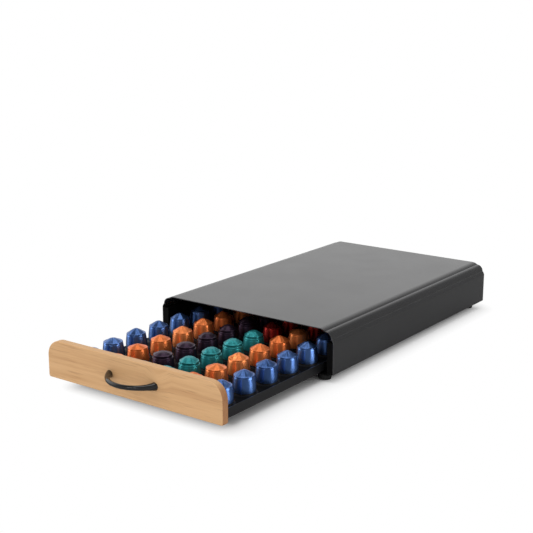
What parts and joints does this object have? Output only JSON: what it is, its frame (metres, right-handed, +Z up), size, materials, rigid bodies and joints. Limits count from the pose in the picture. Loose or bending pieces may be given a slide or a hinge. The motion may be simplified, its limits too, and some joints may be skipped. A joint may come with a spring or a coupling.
{
  "type": "coffee pod drawer",
  "caption": "Low steel-clad drawer unit with a stepped shoulder, wooden front and bow handle; its sliding tray holds upright pods in round wells and the flat top carries a machine.",
  "frame": {"origin": "middle of the footprint at worktop level, with the drawer open as pictured", "axes": "+Z up, +Y from the drawer front to the back of the housing, +X to the right seen from the front"},
  "size_m": [0.3, 0.7122, 0.0742],
  "materials": {
    "black_steel": "fine satin powder coat, near black",
    "black_inner_steel": "satin powder coat, black",
    "bamboo": "clear-lacquered bamboo, fine horizontal grain",
    "handle_black": "satin black lacquer on cast metal",
    "plate_black": "fine-textured moulded plastic",
    "glide_nylon": "smooth nylon",
    "rubber": "matte rubber",
    "zinc": "zinc-plated steel",
    "black_fastener": "black-coated steel",
    "pod_blue": "satin anodised blue",
    "pod_orange": "satin anodised copper orange",
    "pod_plum": "satin anodised dark plum",
    "pod_teal": "satin anodised teal",
    "pod_red": "satin anodised deep red",
    "pod_foil": "plain foil"
  },
  "bodies": {
    "housing": {"housing_shell": "black_steel", "back_panel": "black_steel", "guide_right": "black_inner_steel", "guide_left": "black_inner_steel", "hold_down_right": "black_inner_steel", "hold_down_left": "black_inner_steel", "drawer_stop_right": "glide_nylon", "drawer_stop_left": "glide_nylon", "stop_screws": "zinc", "front_glide_right": "glide_nylon", "front_glide_left": "glide_nylon", "front_cross_bar": "black_inner_steel", "rear_cross_bar": "black_inner_steel", "foot_front_left": "rubber", "foot_front_right": "rubber", "foot_rear_left": "rubber", "foot_rear_right": "rubber", "foot_screws": "zinc", "back_rivets": "black_fastener", "web_rivets": "black_fastener"},
    "drawer": {"drawer_pan": "black_steel", "pod_plate": "plate_black", "front_panel": "bamboo", "handle": "handle_black", "rear_glide_right": "glide_nylon", "rear_glide_left": "glide_nylon", "handle_screws": "zinc", "panel_screws": "zinc", "glide_rivets": "black_fastener", "pods_blue": "pod_blue", "pods_orange": "pod_orange", "pods_plum": "pod_plum", "pods_teal": "pod_teal", "pods_red": "pod_red", "pod_lids": "pod_foil"}
  },
  "joints": [
    {"name": "drawer_slide", "type": "slide", "parent": "housing", "child": "drawer", "axis": [0, 1, 0], "range_m": [-0.09, 0.2186]}
  ]
}
